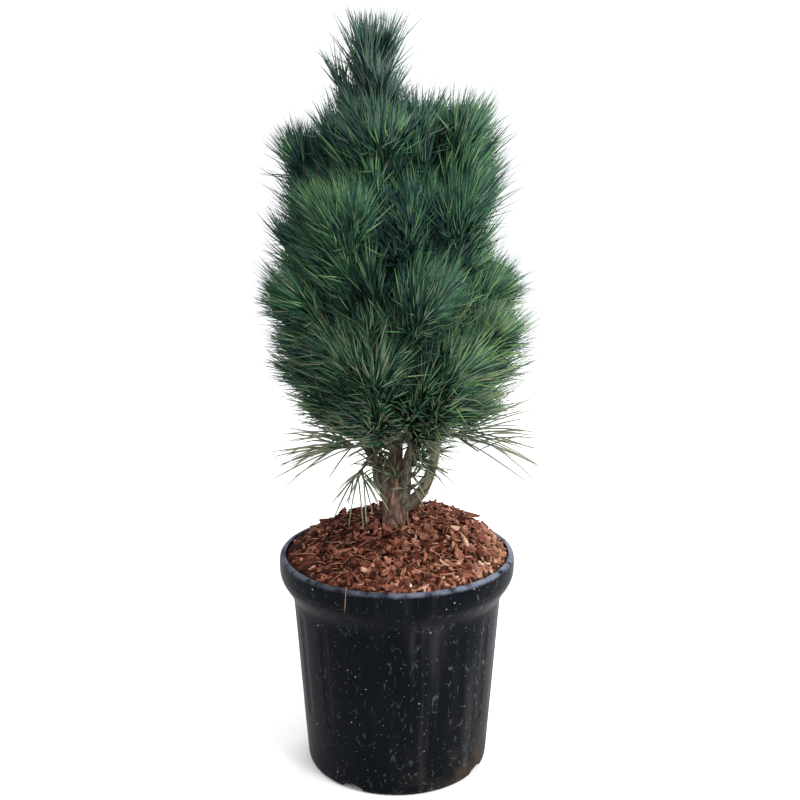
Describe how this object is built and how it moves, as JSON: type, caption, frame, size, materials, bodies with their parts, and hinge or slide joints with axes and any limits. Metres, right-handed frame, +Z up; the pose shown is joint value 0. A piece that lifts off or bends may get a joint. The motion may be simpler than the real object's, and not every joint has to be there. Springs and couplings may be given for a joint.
{
  "type": "potted_conifer",
  "caption": "Compact upright mugo pine with long needles on upswept boughs, growing in a round black nursery pot topped with bark mulch",
  "frame": {"origin": "centre of the pot's flat underside, on the ground", "axes": "+Z up along the trunk, -Y to the front, +X to the right seen from the front"},
  "size_m": [0.4021, 0.397, 1.0767],
  "materials": {
    "pot": "black blown polyethylene with a dull sheen, dusty and faintly streaked",
    "growing_medium": "dark moist composted bark",
    "bark_mulch": "loose reddish brown bark chips",
    "bark": "rough flaking grey brown bark",
    "needles": "waxy dark green needles, brighter at the shoot tips"
  },
  "bodies": {
    "root": {"pot": "pot", "growing_medium": "growing_medium", "bark_mulch": "bark_mulch", "trunk": "bark", "bough_neck_front": "bark", "bough_neck_left": "bark", "bough_neck_right": "bark", "bough_upper_right": "bark", "bough_upper_right_back": "bark", "bough_upper_left": "bark", "bough_upper_back": "bark", "bough_brow_left": "bark", "bough_brow_front": "bark", "bough_brow_right": "bark", "bough_heart_front": "bark", "bough_middle_right": "bark", "bough_middle_front": "bark", "bough_middle_left": "bark", "bough_middle_back_left": "bark", "bough_middle_back_right": "bark", "bough_low_right": "bark", "bough_low_front": "bark", "bough_low_left": "bark", "bough_low_front_right": "bark", "bough_low_back_left": "bark", "bough_low_back_right": "bark", "bough_fringe_left": "bark", "bough_fringe_right": "bark", "bough_fringe_back": "bark", "bough_foot": "bark", "tuft_leader": "needles", "tuft_neck_front": "needles", "tuft_neck_left": "needles", "tuft_neck_right": "needles", "tuft_upper_right": "needles", "tuft_upper_right_back": "needles", "tuft_upper_left": "needles", "tuft_upper_back": "needles", "tuft_brow_left": "needles", "tuft_brow_front": "needles", "tuft_brow_right": "needles", "tuft_heart_front": "needles", "tuft_middle_right": "needles", "tuft_middle_front": "needles", "tuft_middle_left": "needles", "tuft_middle_back_left": "needles", "tuft_middle_back_right": "needles", "tuft_low_right": "needles", "tuft_low_front": "needles", "tuft_low_left": "needles", "tuft_low_front_right": "needles", "tuft_low_back_left": "needles", "tuft_low_back_right": "needles", "tuft_fringe_left": "needles", "tuft_fringe_right": "needles", "tuft_fringe_back": "needles", "tuft_foot": "needles"}
  },
  "joints": []
}
